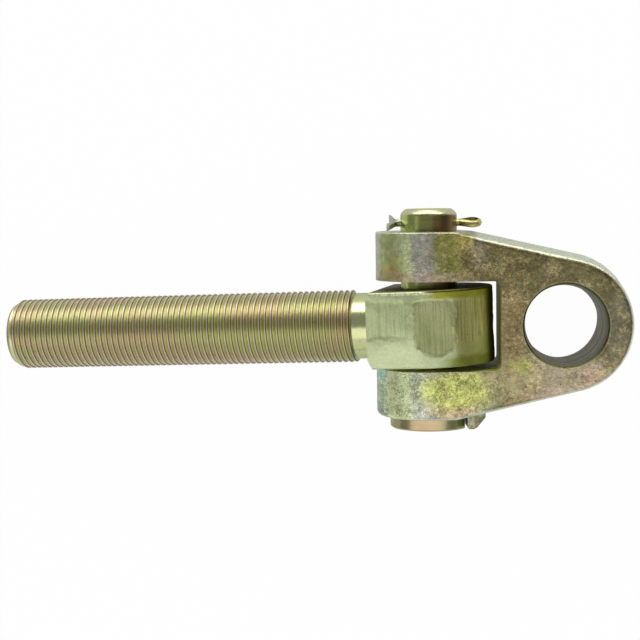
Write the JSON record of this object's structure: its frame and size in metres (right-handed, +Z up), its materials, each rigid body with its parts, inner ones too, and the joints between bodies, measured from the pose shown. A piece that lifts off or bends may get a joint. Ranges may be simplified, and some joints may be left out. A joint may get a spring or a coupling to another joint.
{
  "type": "clevis rod end",
  "caption": "Threaded rod with a forged knuckle, hinged by a headed clevis pin and split pin in a forged yoke that ends in a large plain eye.",
  "frame": {"origin": "centre of the eye bore, at mid thickness of the eye", "axes": "+X along the part from the rod's tip to the eye, +Y along the clevis pin from its head to its split-pin end, +Z up from the flat surface that the part lies on"},
  "size_m": [0.3176, 0.1073, 0.0657],
  "materials": {
    "forged_yoke": "forged steel, zinc plated and yellow passivated, mottled brown-olive, gold, pink and green",
    "turned_pin": "turned steel, zinc plated and yellow passivated, olive to tan, glossy",
    "wire": "drawn steel wire, zinc plated, gold to grey",
    "threaded_rod": "rolled thread and forged knuckle, zinc plated and yellow passivated, sage green to olive"
  },
  "bodies": {
    "yoke_body": {"yoke": "forged_yoke", "clevis_pin": "turned_pin", "split_pin": "wire"},
    "rod_body": {"threaded_rod": "threaded_rod"}
  },
  "joints": [
    {"name": "knuckle_hinge", "type": "hinge", "parent": "yoke_body", "child": "rod_body", "pos_m": [-0.06409, 0, 0.0073], "axis": [0, 1, 0], "range_deg": [-79.36, 100.64]}
  ]
}
